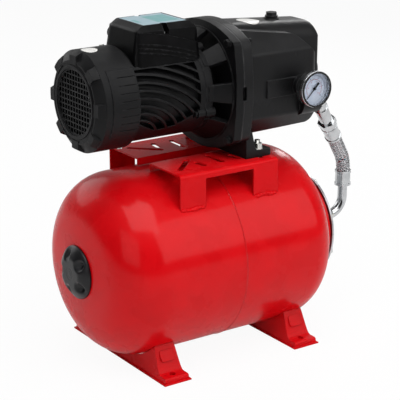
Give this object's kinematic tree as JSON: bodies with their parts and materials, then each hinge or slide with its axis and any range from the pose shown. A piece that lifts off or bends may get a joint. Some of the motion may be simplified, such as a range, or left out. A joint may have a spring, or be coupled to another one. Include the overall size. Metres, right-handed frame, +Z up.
{
  "type": "booster pump set",
  "caption": "Self-priming jet pump with its motor on a horizontal membrane tank, with a pressure gauge and a short braided hose from the pump to the tank.",
  "frame": {"origin": "centre of the four foot holes, on the floor under the feet", "axes": "+X along the shaft from the motor fan to the pump end, -Y towards the gauge side, +Z up"},
  "size_m": [0.511, 0.2714, 0.495],
  "materials": {
    "black_iron": "satin black paint over cast iron",
    "black_paint": "satin paint over castings",
    "black_plastic": "fine grained black plastic",
    "brass": "machined brass",
    "ceramic": "ground ceramic",
    "chrome": "polished chrome",
    "copper": "lacquered copper wire",
    "dial": "white enamel with plain scale arcs",
    "galvanised": "galvanised",
    "glass": "clear flat glass",
    "label": "bare pale film",
    "red_paint": "glossy powder coat",
    "rubber": "moulded rubber",
    "steel": "machined steel",
    "white_plastic": "white plastic",
    "zinc": "bright zinc"
  },
  "bodies": {
    "base": {"tank_shell_left": "red_paint", "tank_shell_right": "red_paint", "seam_weld": "red_paint", "tank_neck": "red_paint", "membrane": "rubber", "tank_flange": "galvanised", "tank_bolts": "zinc", "air_valve": "brass", "foot_left": "red_paint", "foot_right": "red_paint", "rail_near": "red_paint", "rail_far": "red_paint", "rail_welds": "red_paint", "pump_body": "black_iron", "casing_gasket": "rubber", "lantern": "black_paint", "casing_bolts": "black_paint", "seal_seat": "ceramic", "diffuser": "black_plastic", "ejector": "brass", "foot_bolts": "zinc", "motor_frame": "black_paint", "stator_core": "steel", "windings": "copper", "bearing_front": "steel", "bearing_rear": "steel", "rear_shield": "black_paint", "fan_cover": "black_plastic", "cover_screws": "zinc", "frame_screws": "black_paint", "terminal_base": "black_plastic", "terminal_cover": "black_plastic", "terminal_screws": "zinc", "terminal_block": "white_plastic", "capacitor": "white_plastic", "cable_gland": "black_plastic", "label_plate": "label", "gauge_case": "chrome", "gauge_bezel": "chrome", "gauge_dial": "dial", "gauge_lens": "glass", "outlet_elbow": "chrome", "hose_ferrules": "chrome", "hose_braid": "chrome", "tank_elbow": "chrome"},
    "rotor_unit": {"shaft": "steel", "rotor": "steel", "fan": "black_plastic", "impeller": "brass", "impeller_nut": "steel", "seal_head": "steel"},
    "pointer": {"gauge_pointer": "black_plastic"},
    "cap": {"valve_cap": "black_plastic"},
    "pin": {"valve_pin": "steel"},
    "plug": {"priming_plug": "black_plastic", "plug_oring": "rubber"},
    "drain": {"drain_plug": "black_plastic"},
    "union_nut": {"elbow_nut": "chrome"},
    "swivel_nut": {"hose_nut": "chrome"}
  },
  "joints": [
    {"name": "rotor_spin", "type": "hinge", "parent": "base", "child": "rotor_unit", "pos_m": [0, 0, 0.393], "axis": [1, 0, 0], "continuous": true},
    {"name": "pointer_turn", "type": "hinge", "parent": "base", "child": "pointer", "pos_m": [0.137, -0.1, 0.388], "axis": [0, -1, 0], "range_deg": [-270, 0], "stiffness_Nm_per_rad": 0.0002},
    {"name": "cap_pull", "type": "slide", "parent": "base", "child": "cap", "axis": [-1, 0, 0], "range_m": [0, 0.03]},
    {"name": "pin_press", "type": "slide", "parent": "base", "child": "pin", "axis": [1, 0, 0], "range_m": [0, 0.002], "stiffness_N_per_m": 600, "springref_m": -0.001},
    {"name": "plug_lift", "type": "slide", "parent": "base", "child": "plug", "axis": [0, 0, 1], "range_m": [0, 0.03]},
    {"name": "drain_pull", "type": "slide", "parent": "base", "child": "drain", "axis": [1, 0, 0], "range_m": [0, 0.02]},
    {"name": "union_turn", "type": "hinge", "parent": "base", "child": "union_nut", "pos_m": [0.22, 0, 0.146], "axis": [1, 0, 0], "continuous": true},
    {"name": "swivel_turn", "type": "hinge", "parent": "base", "child": "swivel_nut", "pos_m": [0.21704, -0.03932, 0.31117], "axis": [0.6092, 0.3577, -0.7077], "continuous": true}
  ]
}
